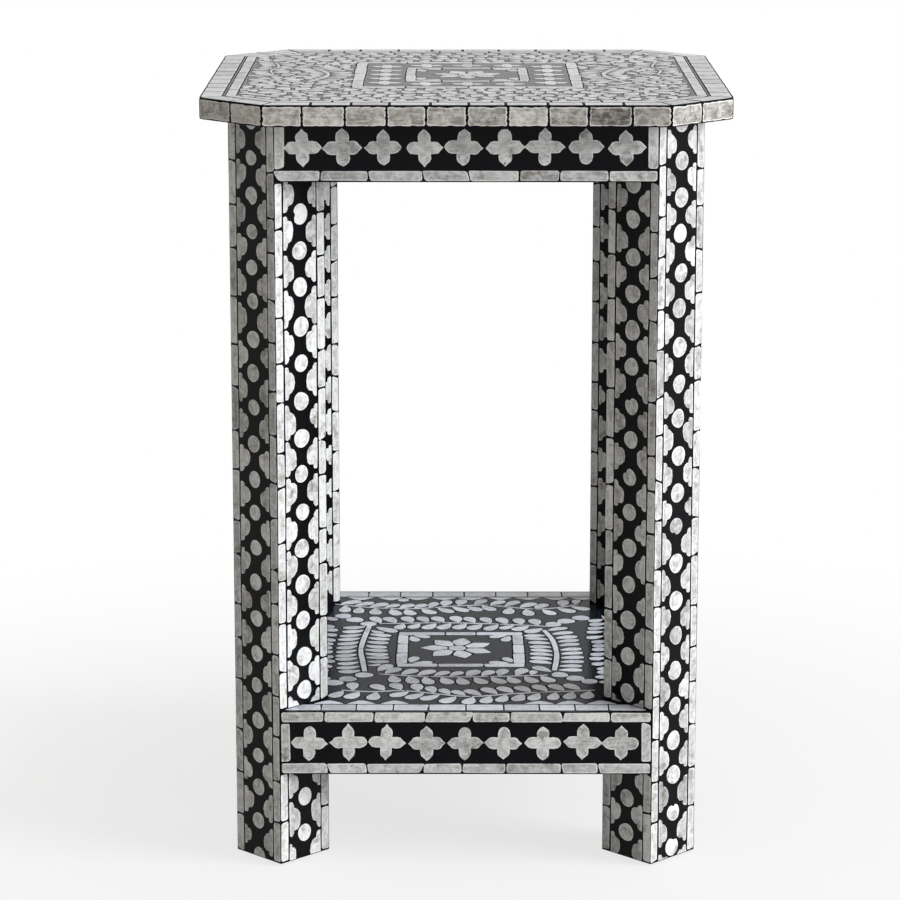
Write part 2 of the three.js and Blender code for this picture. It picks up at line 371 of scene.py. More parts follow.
# %% Outlines: discs and bars
def discs(radius, points=16, chipped_share=0.0):
    """Radius r at angle t is r (1 + a cos(2t + p) + b cos(3t + q)), with small random a and b. A share of the
    discs is chipped: at one random angle s they lose a third of r, by 1 - exp(-((t - s) / 0.3)^2) / 3."""
    angle = circle_angles(points)
    count = len(radius)
    a, b = rng.uniform(0, 0.05, (2, count, 1))
    p, q, chip_angle = rng.uniform(0, 2 * np.pi, (3, count, 1))
    off_chip = np.pi - np.abs(np.pi - np.abs(angle - chip_angle))
    chip = (rng.random((count, 1)) < chipped_share) * np.exp(-(off_chip / 0.3) ** 2) / 3
    reach = radius[:, None] * (1 + a * np.cos(2 * angle + p) + b * np.cos(3 * angle + q)) * (1 - chip)
    return reach[..., None] * towards(angle)


def rounded(corners, radius, points=3):
    """Each corner becomes points on the curve (1-t)^2 a + 2t (1-t) corner + t^2 b, where a and b lie radius
    away on its two sides."""
    before = radius * unit(np.roll(corners, 1, 1) - corners)[:, :, None]
    after = radius * unit(np.roll(corners, -1, 1) - corners)[:, :, None]
    t = np.linspace(0, 1, points)[:, None]
    curve = corners[:, :, None] + (1 - t) ** 2 * before + t ** 2 * after
    return curve.reshape(len(corners), -1, 2)


def bars(length, width, corner=1.1 * mm, slant=0.0, uneven=0.15 * mm):
    """Four-sided bars with rounded corners. Each end leans by up to slant, but few by much: the share is the
    cube of an even random number."""
    x = length[:, None] / 2 * np.array([-1, 1, 1, -1])
    y = width[:, None] / 2 * np.array([-1, -1, 1, 1])
    lean = slant * rng.uniform(-1, 1, (2, len(length), 1)) ** 3
    x = x + np.concatenate([-lean[0], -lean[1], lean[1], lean[0]], 1)
    return filed(rounded(pairs(x, y), corner), uneven)


print("a disc has", discs(np.ones(1)).shape[1], "points, a bar", bars(np.ones(1), np.ones(1)).shape[1])

# %% [markdown]
# Leaves have a point at the root and a round tip, lenses have two points, and petals are kite shaped. Leaves
# and lenses come from one idea: a half width that is a function of the place along the length.

# %% Outlines: leaves, lenses and petals
def leaves(length, width, points=14):
    """From the root at zero, x is L (1 - cos t) / 2 and y is half the width times -sin(t) sin(t / 2), scaled
    so that the widest place has the given width."""
    t, fine = circle_angles(points), circle_angles(360)
    swell = np.sin(t) * np.sin(t / 2) / np.abs(np.sin(fine) * np.sin(fine / 2)).max()
    return filed(pairs(length[:, None] * (1 - np.cos(t)) / 2, -width[:, None] / 2 * swell), 0.2 * mm)


def lenses(length, width, bend=0.0, points=12):
    """Pointed at both ends, from the root at zero, and widest just beyond the middle: x is L (1 - cos t) / 2,
    and y is half the width times -sin(t) |sin t|^0.2 (1 - 0.3 cos t), plus a bow of height bend."""
    t = circle_angles(points)
    swell = np.sin(t) * np.abs(np.sin(t)) ** 0.2 * (1 - 0.3 * np.cos(t))
    y = -width[:, None] / 2 * swell + bend * np.sin(t) ** 2
    return filed(pairs(length[:, None] / 2 * (1 - np.cos(t)), y), 0.15 * mm)


def shaped(share_points, length, width):
    """Outlines from points in shares of the length and of the width."""
    return filed(np.array(share_points) * pairs(length, width)[:, None], 0.15 * mm)


petal_shares = [(0, -0.16), (0.26, -0.38), (0.52, -0.5), (0.78, -0.27), (1, 0), (0.78, 0.27), (0.52, 0.5),
                (0.26, 0.38), (0, 0.16)]


def petals(length, width):
    return shaped(petal_shares, length, width)


print("a leaf has", leaves(np.ones(1), np.ones(1)).shape[1], "points")

# %% [markdown]
# The two shapes that give this stool its look are the four-lobed flower of the aprons and the scallop of the
# legs, which is a round lobe on a stepped foot and sits with its flat side against the edge strip. The
# shelf's border has half leaves, cut flat along one side.

# %% Outlines: four-lobed flowers, scallops and half leaves
round_arm_shares = np.array([(0.0, -1.0), (0.60, -1.04), (0.82, -0.88), (0.96, -0.48), (1.0, 0), (0.96, 0.48),
                             (0.82, 0.88), (0.60, 1.04)])
pointed_arm_shares = np.array([(0.0, -1.0), (0.58, -1.02), (0.75, -0.88), (0.89, -0.40), (1.05, 0),
                               (0.89, 0.40), (0.75, 0.88), (0.58, 1.02)])
level_arms = np.array([1, 0, 1, 0])[:, None, None]


def quatrefoils(reach, arm_width):
    """Four arms at right angles. An arm's points are (along, across), mixed between a round and a pointed
    arm, and its first point is the inner corner that it shares with the arm before. Level arms are a little
    longer and more often pointed."""
    count = len(reach)
    pointed = np.clip(rng.uniform(-0.5, 1.3, (count, 4, 1, 1)) + 0.2 + 0.3 * level_arms, 0, 1)
    arm = (1 - pointed) * round_arm_shares + pointed * pointed_arm_shares
    half = (arm_width / 2)[:, None, None]
    along = arm[..., 0] * (about(1, 0.05, (count, 4, 1)) - 0.04 * (1 - level_arms[..., 0]))
    along = along * reach[:, None, None]
    along[..., 0] = half[..., 0]
    outline = turned(pairs(along, arm[..., 1] * half), np.radians([0, 90, 180, 270])[:, None])
    return filed(outline.reshape(count, -1, 2), 0.22 * mm)


scallop_shares = [(-0.5, 0), (0, -0.01), (0.5, 0), (0.52, 0.15), (0.49, 0.30), (0.42, 0.39), (0.34, 0.40),
                  (0.33, 0.55), (0.29, 0.76), (0.19, 0.94), (0, 1.0), (-0.19, 0.94), (-0.29, 0.76),
                  (-0.33, 0.55), (-0.34, 0.40), (-0.42, 0.39), (-0.49, 0.30), (-0.52, 0.15)]


def scallops(length, depth):
    """Each lobe leans along its foot by a random share, up to a quarter, of the height above the foot."""
    outline = shaped(scallop_shares, length, depth)
    outline[..., 0] += about(0, 0.26, (len(length), 1)) * outline[..., 1]
    return filed(outline, 0.28 * mm)


half_leaf_shares = [(-0.5, 0), (0, -0.01), (0.5, 0), (0.36, 0.42), (0.2, 0.8), (0.05, 1.0), (-0.1, 0.97),
                    (-0.26, 0.66), (-0.4, 0.3)]
print("a four-lobed flower has", quatrefoils(np.ones(1), np.ones(1)).shape[1], "points")

# %% [markdown]
# A piece becomes a plate by stacking four copies of its outline: one sunk in the resin, one at the top of the
# wall, one drawn in by a small bevel, and one drawn in further, where the paler rim ends, a band painted
# lighter as a painted edge highlight. Pointed pieces are drawn in by shrinking them towards their middle, and
# lobed ones by moving each point along its own normal, which keeps the rim even round the arms.

# %% Outlines drawn in
plate_rise = 0.22 * mm
plate_sink = 0.3 * mm
plate_spread = 0.06 * mm
glue_rise = 0.08 * mm
bevel_width = 0.14 * mm
# The width of the paler rim, a painted edge highlight
rim_highlight_width = 1.3 * mm
grain_unit = 100 * mm
grain_shift = 40
tone_spread = 0.8


def shrunk(outlines, width):
    """Towards the middle, so that each half extent loses width, but never more than half of itself."""
    low, high = outlines.min(1, keepdims=True), outlines.max(1, keepdims=True)
    middle, half = (low + high) / 2, (high - low) / 2
    return middle + (outlines - middle) * np.maximum(1 - width / half, 0.5)


def drawn_in(outlines, width):
    """Each point moves by width along the normal of the mean direction of its two edges."""
    before, after = (unit(edge) for edge in (outlines - np.roll(outlines, 1, 1),
                                             np.roll(outlines, -1, 1) - outlines))
    along = unit(after + before)
    return outlines + width * pairs(-along[..., 1], along[..., 0])


print("a plate stands", plate_rise / mm, "mm above the resin")

# %% [markdown]
# Plates are laid on a face, which knows its own zero and directions. Each plate is closed and has about fifty
# sides, and there are nearly three thousand plates. Polishing never leaves two of them quite level, so each
# lies a few hundredths of a millimetre deeper than the highest.

# %% Laying plates on a face
class Face:
    """A flat face to inlay: the lists that collect its plates and glue lines, its own zero, its directions,
    its outward normal, which is right times up, and the width of the glue line round each piece."""

    def __init__(self, plates, glue, origin, right, up, seam=0.0):
        self.plates, self.glue, self.seam = plates, glue, seam
        self.origin, self.right, self.up = (np.array(value, float) for value in (origin, right, up))
        self.normal = np.cross(self.right, self.up)


def standing_face(plates, degrees, distance, centre=(0, 0), bottom=0.0):
    """An upright face whose normal points at degrees in plan, at a distance from centre."""
    normal = towards(np.radians(degrees))
    origin = (*(np.array(centre) + normal * distance), bottom)
    return Face(plates, [], origin, (-normal[1], normal[0], 0), (0, 0, 1))


def lay(face, outlines, at=(0, 0), angle=0.0, inset=shrunk, rim=rim_highlight_width, tone=0.0):
    """Places pieces on a face: each outline is turned by angle, moved to at, and lifted off the face in four
    rings. A glue line is a lower plate in two rings, wider than the piece by the seam."""
    count = len(outlines)
    at = np.broadcast_to(at, (count, 2))[:, None, None]
    angle = np.broadcast_to(angle, (count,))[:, None, None]
    shift = rng.uniform(-grain_shift, grain_shift, (count, 1, 1, 2))
    tones = np.clip(rng.normal(tone, tone_spread, count), -2, 3)

    def lifted(rings, lift):
        rings = np.stack(rings, 1)
        lift = np.array(lift)[:, None, None] - rng.uniform(0, plate_spread, (count, 1, 1, 1))
        x, y = np.split(turned(rings, angle) + at, 2, -1)
        solids = face.origin + x * face.right + y * face.up + lift * face.normal
        return solids, rings / grain_unit + shift, tones

    wall_top = plate_rise - bevel_width
    face.plates.append(lifted([outlines, outlines, inset(outlines, bevel_width), inset(outlines, rim)],
                              [-plate_sink, wall_top, plate_rise, plate_rise]))
    if face.seam:
        wider = inset(outlines, -face.seam)
        face.glue.append(lifted([wider, wider], [-plate_sink, glue_rise]))


print("normal of a face to the front:", standing_face([], -90, frame_face).normal.round(3))

# %% [markdown]
# All plates of one panel go into one mesh. Its faces are the quads between neighbouring rings and a
# many-sided cap at each end, so every plate is closed.

# %% Plates into one mesh
def plate_count(plates):
    return sum(len(solid) for solid, _, _ in plates)


def inlay_object(name, plates, material):
    points, faces, tones, rims, grains = [], [], [], [], []
    start = 0
    for solid, grain, tone in plates:
        count, rings, around = solid.shape[:3]
        index = start + np.arange(count * rings * around).reshape(count, rings, around)
        lower, upper = index[:, :-1], index[:, 1:]
        quads = np.stack([lower, np.roll(lower, -1, 2), np.roll(upper, -1, 2), upper], 3)
        faces += quads.reshape(-1, 4).tolist() + index[:, -1].tolist() + index[:, 0, ::-1].tolist()
        points.append(solid.reshape(-1, 3))
        grains.append(grain.reshape(-1, 2))
        tones.append(np.broadcast_to(tone[:, None, None], index.shape).ravel())
        # Rim is one on every ring but the innermost: it marks the painted edge highlight
        rim = np.append(np.ones(rings - 1), 0.0)
        rims.append(np.broadcast_to(rim[:, None], index.shape).ravel())
        start += index.size
    mesh = bpy.data.meshes.new(name)
    mesh.from_pydata(np.concatenate(points), [], faces)
    for key, values in (("tone", tones), ("rim", rims)):
        mesh.attributes.new(key, "FLOAT", "POINT").data.foreach_set("value", np.concatenate(values))
    corner = np.empty(len(mesh.loops), int)
    mesh.loops.foreach_get("vertex_index", corner)
    mesh.uv_layers.new(name="grain").data.foreach_set("uv", np.concatenate(grains)[corner].ravel())
    mesh.materials.append(material)
    piece = bpy.data.objects.new(name, mesh)
    bpy.context.scene.collection.objects.link(piece)
    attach(piece, "root")
    print(name, "has", plate_count(plates), "plates and", len(faces), "faces")
    return piece


print("ready to make meshes of plates")

# %% [markdown]
# Edge strips, borders and frames are rows of bars laid end to end with a dark joint between them. These
# helpers cut a run into pieces of about the wanted length and lay them upright or level.

# %% Rows of pieces
joint = 1.2 * mm


def row_pieces(start, end, piece_length, uneven_share=0.14, gap=joint):
    """Middles and lengths of the pieces that fill a run. Even cuts each move by a share of a piece."""
    count = max(1, round((end - start) / piece_length))
    cuts = np.linspace(start, end, count + 1)
    cuts[1:-1] += (end - start) / count * uneven_share * rng.uniform(-1, 1, count - 1)
    return (cuts[1:] + cuts[:-1]) / 2, np.diff(cuts) - gap


def upright_strip(face, x, start, end, width, piece_length=34 * mm, tone=0.0):
    middle, length = row_pieces(start, end, piece_length, gap=1.6 * mm)
    widths = about(width, 0.35 * mm, len(length))
    outline = bars(length, widths, corner=1.6 * mm, slant=1.4 * mm, uneven=0.28 * mm)
    lay(face, outline, pairs(about(x, 0.15 * mm, len(middle)), middle), np.pi / 2, tone=tone)


def level_strip(face, y, start, end, width, piece_length=34 * mm, slant=2.6 * mm):
    middle, length = row_pieces(start, end, piece_length)
    widths = about(width, 0.3 * mm, len(length))
    outline = bars(length, widths, corner=1.5 * mm, slant=slant, uneven=0.25 * mm)
    lay(face, outline, pairs(middle, y))


print("pieces in a 300 mm run:", len(row_pieces(0, 300 * mm, 34 * mm)[0]))

# %% [markdown]
# ## The legs
# Each face of a leg has a strip along both edges, a column of discs up the middle, and a scallop on each side
# midway between two discs. The leg's two side faces meet the aprons and rails, so the pieces that a board
# covers are left out. All four legs are one leg turned by quarters, but a craftsman starts each face afresh.
# A face's plan is the height of a low disc, the pitch and the radius in millimetres, the scallops' share of the
# pitch, and the tone, which is darker above zero. On the listed faces the tone is set against the light, paler
# where a face gets less light and darker where it gets more, so it is painted light.

# %% Spans and plans of the leg faces
strip_width = 7.2 * mm
strip_middle = leg_width / 2 - 0.45 * mm - strip_width / 2
scallop_foot = strip_middle - strip_width / 2 - 1.5 * mm
scallop_depth = 10.5 * mm
leg_top = leg_high[2] - 0.6 * mm
leg_bottom = leg_low[2] + 0.6 * mm
cover_gap = 0.8 * mm
shelf_thickness = 10 * mm
cleat_height = 25 * mm
below_rail = (leg_bottom, rail_low[2] - cover_gap)
below_shelf = (leg_bottom, shelf_low[2] - shelf_thickness - cover_gap)
above_shelf = shelf_high[2] + cover_gap
by_board = (below_rail, (above_shelf, apron_low[2] - cover_gap))
free_edge = (below_shelf, (above_shelf, leg_top))
inside = (below_shelf, (above_shelf, leg_high[2] - cleat_height))
whole_leg = ((leg_bottom, leg_top),)
leg_faces = {
    "outer": (-135, (whole_leg, whole_leg, whole_leg)),
    "inner": (45, (inside, inside, inside)),
    "to_front": (-45, (by_board, by_board, free_edge)),
    "to_side": (135, (free_edge, by_board, by_board)),
}
# The tones of these plans are painted light: paler bone on faces in less light, darker on the front right outer
# face, which gets the most.
face_plans = {
    ("front_left", "outer"): (30.3, 27.4, 6.2, 0.80, 0.0),
    ("front_left", "to_front"): (21.5, 28.7, 7.2, 0.93, -1.0),
    ("front_right", "to_side"): (22.8, 28.3, 7.1, 0.78, -0.3),
    ("front_right", "outer"): (11.1, 28.35, 7.4, 0.82, 0.3),
    ("back_left", "inner"): (17.0, 28.2, 7.1, 0.85, -1.2),
}
print("the strips' middles are", round(strip_middle / mm, 1), "mm from the middle of a leg's face")

# %% [markdown]
# A craftsman cuts the piece at the end of a span to what fits. Here its outline is cut off there, and it is
# laid if enough of it is left. Some discs are chipped, and some scallops are short ones from offcuts.

# %% Leg inlay
remnant = 4 * mm
chipped_discs = 0.13
short_scallops, short_size = 0.09, 0.72


def trimmed(outlines, middle, side, span):
    """Keeps the pieces that show in a span and cuts them off at its ends. A piece's own x runs up the leg
    when side is 1 and down it when side is -1. A small remnant is left out."""
    height = np.clip(middle[:, None] + side * outlines[..., 0], *span)
    kept = np.ptp(height, axis=1) > remnant
    return pairs(side * (height - middle[:, None]), outlines[..., 1])[kept], middle[kept]


def leg_face(face, spans, first, pitch, disc_radius, scallop_share, tone):
    """Spans are the heights to fill in the left, middle and right column."""
    columns = ((-1, spans[0]), (1, spans[2]))
    for side, heights in columns:
        for low, high in heights:
            upright_strip(face, side * strip_middle, low, high, strip_width, tone=tone)
    place = first * mm + pitch * mm * np.arange(-2, 23)
    place = place + rng.uniform(-1.3, 1.3, len(place)) * mm
    outline = discs(about(disc_radius * mm, 0.6 * mm, len(place)), chipped_share=chipped_discs)
    for span in spans[1]:
        shown, height = trimmed(outline, place, 1, span)
        at = pairs(about(0, 0.8 * mm, len(height)), height)
        lay(face, shown, at, np.pi / 2, tone=tone - 0.5)
    count = len(place) - 1
    for side, heights in columns:
        between = (place[1:] + place[:-1]) / 2 + about(0, 0.9 * mm, count)
        short = np.where(rng.random(count) < short_scallops, short_size, 1.0)
        length = short * about(scallop_share, 0.06, count) * (np.diff(place) - 1.6 * mm)
        outline = scallops(length, short * about(scallop_depth, 1.0 * mm, count))
        for span in heights:
            shown, height = trimmed(outline, between, side, span)
            lay(face, shown, pairs(side * scallop_foot, height), side * np.pi / 2, tone=tone + 0.6)


for quarter, corner_name in enumerate(("front_left", "front_right", "back_right", "back_left")):
    leg_plates = []
    centre = leg_axis * np.sqrt(2) * towards(np.radians(-135 + 90 * quarter))
    for face_name, (degrees, spans) in leg_faces.items():
        face = standing_face(leg_plates, degrees + 90 * quarter, leg_width / 2, centre)
        usual_plan = (about(20, 8, 1)[0], 28.2, 7.1, 0.82, 0.0)
        leg_face(face, spans, *face_plans.get((corner_name, face_name), usual_plan))
    inlay_object(f"{corner_name}_leg_bone", leg_plates, pale_bone)

# %% [markdown]
# ## Aprons and rails
# Nine four-lobed flowers stand in a row on black. The apron has a strip below them and the top above them.
# The rail has a strip above and below. A short upright bar closes each end.

# %% Apron and rail inlay
band_width = 7.5 * mm
end_width = 7.1 * mm
end_middle = apron_high[0] - 0.4 * mm - end_width / 2
end_side = end_middle + end_width / 2
flower_pitch = 30.1 * mm
flower_reach = 13.9 * mm
flower_arm = 9.4 * mm
apron_height = apron_high[2] - apron_low[2]
rail_height = rail_high[2] - rail_low[2]
band = 0.9 * mm + band_width / 2


def flower_row(face, middle_height, shift):
    x = flower_pitch * (np.arange(9) - 4) + shift + about(0, 0.6 * mm, 9)
    at = pairs(x, about(middle_height, 0.5 * mm, 9))
    flowers = quatrefoils(about(flower_reach, 0.5 * mm, 9), about(flower_arm, 0.6 * mm, 9))
    lay(face, flowers, at, about(0, 0.05, 9), drawn_in)


# Bottom of the board, then in its own heights the strips, the top of the end bars and the flowers' middle and
# shift along the board
board_rows = {
    "apron": (apron_low[2], [band], apron_height - 0.6 * mm, apron_height - 17.6 * mm, -1.5 * mm),
    "rail": (rail_low[2], [band, rail_height - band], rail_height - 2 * band, rail_height / 2, -0.5 * mm),
}
for quarter, side_name in enumerate(("front", "right", "back", "left")):
    for kind, (bottom, band_heights, end_top, flower_height, flower_shift) in board_rows.items():
        face = standing_face([], -90 + 90 * quarter, frame_face, bottom=bottom)
        for height in band_heights:
            level_strip(face, height, -end_side, end_side, band_width)
        for side in (-1, 1):
            upright_strip(face, side * end_middle, 2 * band, end_top, end_width)
        flower_row(face, flower_height, flower_shift)
        inlay_object(f"{side_name}_{kind}_bone", face.plates, pale_bone)

# %% [markdown]
# ## Room for each piece
# A craftsman tries a leaf in its place, turns it, files it smaller or leaves it out, until no two pieces
# touch. The same is done here: a new outline is tested against points all over the plates that lie there.

# %% Fitting pieces between others
def covers(outline, points):
    """True for each point inside the outline: a level line from it to the right crosses an odd number of
    sides."""
    x, y = outline.T
    next_x, next_y = np.roll(x, -1), np.roll(y, -1)
    rise = np.where(next_y == y, 1e-12, next_y - y)
    point_x, point_y = points[:, :1], points[:, 1:]
    between = (y > point_y) != (next_y > point_y)
    crossing = x + (point_y - y) / rise * (next_x - x)
    return (between & (point_x < crossing)).sum(1) % 2 == 1


def dense(outlines):
    """Points on each outline and between them, and the same again halfway to the middle."""
    outlines = np.concatenate([outlines, (outlines + np.roll(outlines, -1, 1)) / 2], 1)
    middle = outlines.mean(1, keepdims=True)
    return np.concatenate([middle + share * (outlines - middle) for share in (1, 0.5)], 1)


def taken_places(face):
    """The dense points of all plates that lie with this face's, in its own coordinates."""
    feet = [solid[:, 0] - face.origin for solid, _, _ in face.plates]
    return np.concatenate([dense(pairs(foot @ face.right, foot @ face.up)).reshape(-1, 2) for foot in feet])


turn_at_size = {1: 8, 0.92: 14, 0.84: 20, 0.74: 24, 0.62: 14}
usual_tries = [(share, side * degrees) for share, degrees in turn_at_size.items() for side in (0, 1, -1)]


def settle(face, outlines, at, angle, tries=usual_tries, gap=0.7 * mm, reach=26 * mm):
    """Lays a piece only where it keeps its gap to all others. One that doesn't is tried again at each share
    of its size and turned by the degrees that go with it, and is left out if nothing fits."""
    places = taken_places(face)
    at, angle = np.broadcast_to(at, (len(outlines), 2)), np.broadcast_to(angle, (len(outlines),))
    kept = []
    for outline, place, direction in zip(outlines, at, angle):
        near = places[(np.abs(places - place) < reach).all(1)]
        for share, degrees in tries:
            shape = share * outline
            turn = direction + np.radians(degrees)
            wider = shape * (1 + 2 * gap / np.ptp(shape, axis=0))
            if not covers(turned(wider, turn) + place, near).any():
                places = np.concatenate([places, dense((turned(shape, turn) + place)[None])[0]])
                kept.append((shape, place, turn))
                break
    if kept:
        lay(face, *(np.array(values) for values in zip(*kept)))
    return len(kept)


def fill_in(face, kept_free, half_width, length, width, pitch, directions=10):
    """Small leaves in what is left bare, from a staggered grid of places outside the box kept_free, which is
    left, right, low and high. Each is tried in many directions."""
    left, right, low, high = kept_free
    line = np.arange(-half_width, half_width, pitch)
    x, y = np.meshgrid(line, line)
    x = x + pitch / 2 * (np.arange(len(line)) % 2)[:, None]
    spots = pairs(x, y).reshape(-1, 2) + rng.uniform(-0.2, 0.2, (x.size, 2)) * pitch
    x, y = spots.T
    spots = spots[(x < left) | (x > right) | (y < low) | (y > high)]
    places = taken_places(face)
    clear = np.array([np.square(places - spot).sum(1).min() for spot in spots]) > (width / 2) ** 2
    spots = rng.permutation(spots[clear])
    outline = leaves(about(length, 0.1 * length, len(spots)), about(width, 0.08 * width, len(spots)))
    outline[..., 0] -= length / 2
    tries = [(share, degrees) for share in (1, 0.84) for degrees in np.arange(directions) * 360 / directions]
    turns = rng.uniform(0, 2 * np.pi, len(spots))
    return settle(face, outline, spots, turns, tries, reach=length * 0.75)


print("tries for each leaf:", len(usual_tries))

# %% [markdown]
# ## Curves for stems and vines
# The top and the shelf carry vines. A vine is a stem that runs through a few guide points, with leaves set
# along both sides. The same walk along the curve gives the place and the direction for stem and leaves.

# %% Smooth paths
def smooth_path(guide):
    """A Catmull-Rom curve through the guide points, in millimetres, with the distance along it at each point.
    Between b and c it is (2b + (c - a) t + (2a - 5b + 4c - d) t^2 + (3b - a - 3c + d) t^3) / 2."""
    guide = np.array(guide, float) * mm
    ends = np.concatenate([[2 * guide[0] - guide[1]], guide, [2 * guide[-1] - guide[-2]]])
    a, b, c, d = (ends[i:len(ends) - 3 + i, None] for i in range(4))
    t = np.linspace(0, 1, 24, endpoint=False)[:, None]
    square, cube = 2 * a - 5 * b + 4 * c - d, 3 * b - a - 3 * c + d
    curve = (2 * b + (c - a) * t + square * t ** 2 + cube * t ** 3) / 2
    points = np.concatenate([curve.reshape(-1, 2), guide[-1:]])
    along = np.concatenate([[0], np.cumsum(np.linalg.norm(np.diff(points, axis=0), axis=1))])
    return along, points


def walk(path, distance):
    """The places at these distances along a path, and the angle of its direction there."""
    def at(s):
        return pairs(*(np.interp(s, path[0], line) for line in path[1].T))
    ahead = at(distance + 0.5 * mm) - at(distance - 0.5 * mm)
    return at(distance), np.arctan2(ahead[..., 1], ahead[..., 0])


def stem(face, path, width, piece_length=46 * mm, end_share=0.62):
    """Thin curved plates: seven points on the right of the path and seven back on its left, with ends
    narrowed to end_share of the width."""
    middle, length = row_pieces(0, path[0][-1], piece_length)
    line, angle = walk(path, middle[:, None] + length[:, None] * np.linspace(-0.5, 0.5, 7))
    half = width / 2 * np.array([end_share, 0.95, 1, 1, 1, 0.95, end_share])[:, None]
    across = pairs(-np.sin(angle), np.cos(angle)) * half
    outline = np.concatenate([line - across, (line + across)[:, ::-1]], 1)
    lay(face, outline, inset=drawn_in, rim=width * 0.28)


def vine(face, guide, stem_width=2.1 * mm, leaf_length=16.0 * mm, leaf_width=10.2 * mm, spacing=12.6 * mm,
         lean=66, sides=(1, -1), gap=0.7 * mm):
    """A stem and its leaves. A leaf leans by lean degrees from the stem, and the two sides take turns."""
    path = smooth_path(guide)
    stem(face, path, stem_width)
    for order, side in enumerate(sides):
        start = spacing * (0.35 + 0.5 * order)
        distance = np.arange(start, path[0][-1] + 2 * mm, spacing)
        distance = distance + rng.uniform(-0.5, 0.5, len(distance)) * mm
        root, angle = walk(path, distance)
        angle = angle + side * np.radians(about(lean, 6, len(distance)))
        at = root + (stem_width / 2 + 0.4 * mm) * towards(angle)
        outline = leaves(about(leaf_length, 0.9 * mm, len(at)), about(leaf_width, 0.6 * mm, len(at)))
        settle(face, outline, at, angle, gap=gap)


print("a bend of 100 mm is", round(smooth_path([(0, 0), (50, 20), (100, 0)])[0][-1] / mm, 1), "mm long")

# %% [markdown]
# Flowers and single leaves are the same few outlines, laid round a middle or from a root. Tiles are sawn from
# flat bone, and their edges break away a little under the saw, more in some places than in others.

# %% Flowers, single leaves and ragged tiles
def flower(face, middle, reach, petal_width, directions, heart, outline=petals):
    """Petals at the given angles in degrees, pointing out from a round heart."""
    directions = np.radians(np.array(directions, float))
    middle = np.array(middle, float) * mm
    root = heart + 1.2 * mm
    count = len(directions)
    shape = outline(np.full(count, reach - root), about(petal_width, 0.5 * mm, count))
    lay(face, shape, middle + root * towards(directions), directions)
    lay(face, discs(np.array([heart]), 14), middle, inset=drawn_in)


def leaf_at(face, roots, degrees, length, width):
    """Single leaves, from their roots in millimetres, each pointing its own way."""
    turn = np.radians(np.broadcast_to(degrees, (len(roots),)))
    roots = np.array(roots, float) * mm + 2.2 * mm * towards(turn)
    shape = leaves(about(length, 0.6 * mm, len(roots)), about(width, 0.4 * mm, len(roots)))
    settle(face, shape, roots, turn)


def slabs(corners, corner_radius=0.9 * mm, cuts=4, chipped=0.3 * mm):
    """Four-sided pieces given by their corners, anticlockwise. Each side gets more points between its
    corners, and every point is chipped away towards the middle by a random share of up to chipped."""
    ends = rounded(corners, corner_radius).reshape(len(corners), 4, 3, 2)
    share = np.linspace(0, 1, cuts + 1, endpoint=False)[1:, None]
    between = ends[:, :, 2:] * (1 - share) + np.roll(ends, -1, 1)[:, :, :1] * share
    outline = np.concatenate([ends, between], 2).reshape(len(corners), -1, 2)
    inward = unit(corners.mean(1, keepdims=True) - outline)
    return outline + inward * chipped * rng.uniform(0, 1, outline.shape[:2] + (1,)) ** 2


print("a ragged tile has", slabs(np.array([[(0, 0), (1, 0), (1, 1), (0, 1.0)]])).shape[1], "points")

# %% [markdown]
# A border follows the edge of the panel as tiles cut square across, mitred where two sides meet. It is worked
# out from two rings of corners, so that it fits a square as well as an octagon. A frame is a rectangle of
# strips.

# %% Mitred borders and frames
def border(face, outer, inner, piece_length, gaps):
    """Tiles between two rings of corners, anticlockwise, one row for each side and its own gap. The ends of
    a row follow the line from the outer corner to the inner one, and its other cuts are square to it."""
    sides = zip(outer, np.roll(outer, -1, 0), inner, np.roll(inner, -1, 0), gaps)
    for start_out, end_out, start_in, end_in, gap in sides:
        direction = unit(end_out - start_out)
        across = np.array([-direction[1], direction[0]])
        middle, length = row_pieces(start_in @ direction, end_in @ direction, piece_length, 0.08, gap)
        low, high = middle - length / 2, middle + length / 2
        low_out, high_out = low.copy(), high.copy()
        low_out[0], high_out[-1] = start_out @ direction + gap / 2, end_out @ direction - gap / 2
        low[0], high[-1] = start_in @ direction + gap / 2, end_in @ direction - gap / 2
        level_out, level_in = start_out @ across, start_in @ across
        corners = np.stack([pairs(low_out, level_out), pairs(high_out, level_out), pairs(high, level_in),
                            pairs(low, level_in)], 1)
        lay(face, slabs(corners[..., :1] * direction + corners[..., 1:] * across))


def frame_strips(face, left, right, low, high, width, piece_length=34 * mm):
    """A rectangle of strips, given by its outer sides in millimetres. The level strips run through to the
    corners, and the upright ones stand between them."""
    left, right, low, high = np.array([left, right, low, high]) * mm
    for y in (low + width / 2, high - width / 2):
        level_strip(face, y, left, right, width, piece_length, slant=0.6 * mm)
    for x in (left + width / 2, right - width / 2):
        upright_strip(face, x, low + width, high - width, width, piece_length)


print("helpers for borders and frames ready")

# %% [markdown]
# ## The tabletop
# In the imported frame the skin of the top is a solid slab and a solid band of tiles. Here both give way to one
# tray of resin, turned over on the board and set back by the height of a plate, so that the bone plates end
# exactly where the slab and the band did.

# %% Resin bed of the tabletop
def octagon(inset):
    """The corners of the top, anticlockwise, drawn in by inset on every side."""
    half = top_half - inset
    near = top_half - corner_cut + inset * (1 - np.sqrt(2))
    return np.array([(half, -near), (half, near), (near, half), (-near, half), (-half, near), (-half, -near),
                     (-near, -half), (near, -half)])


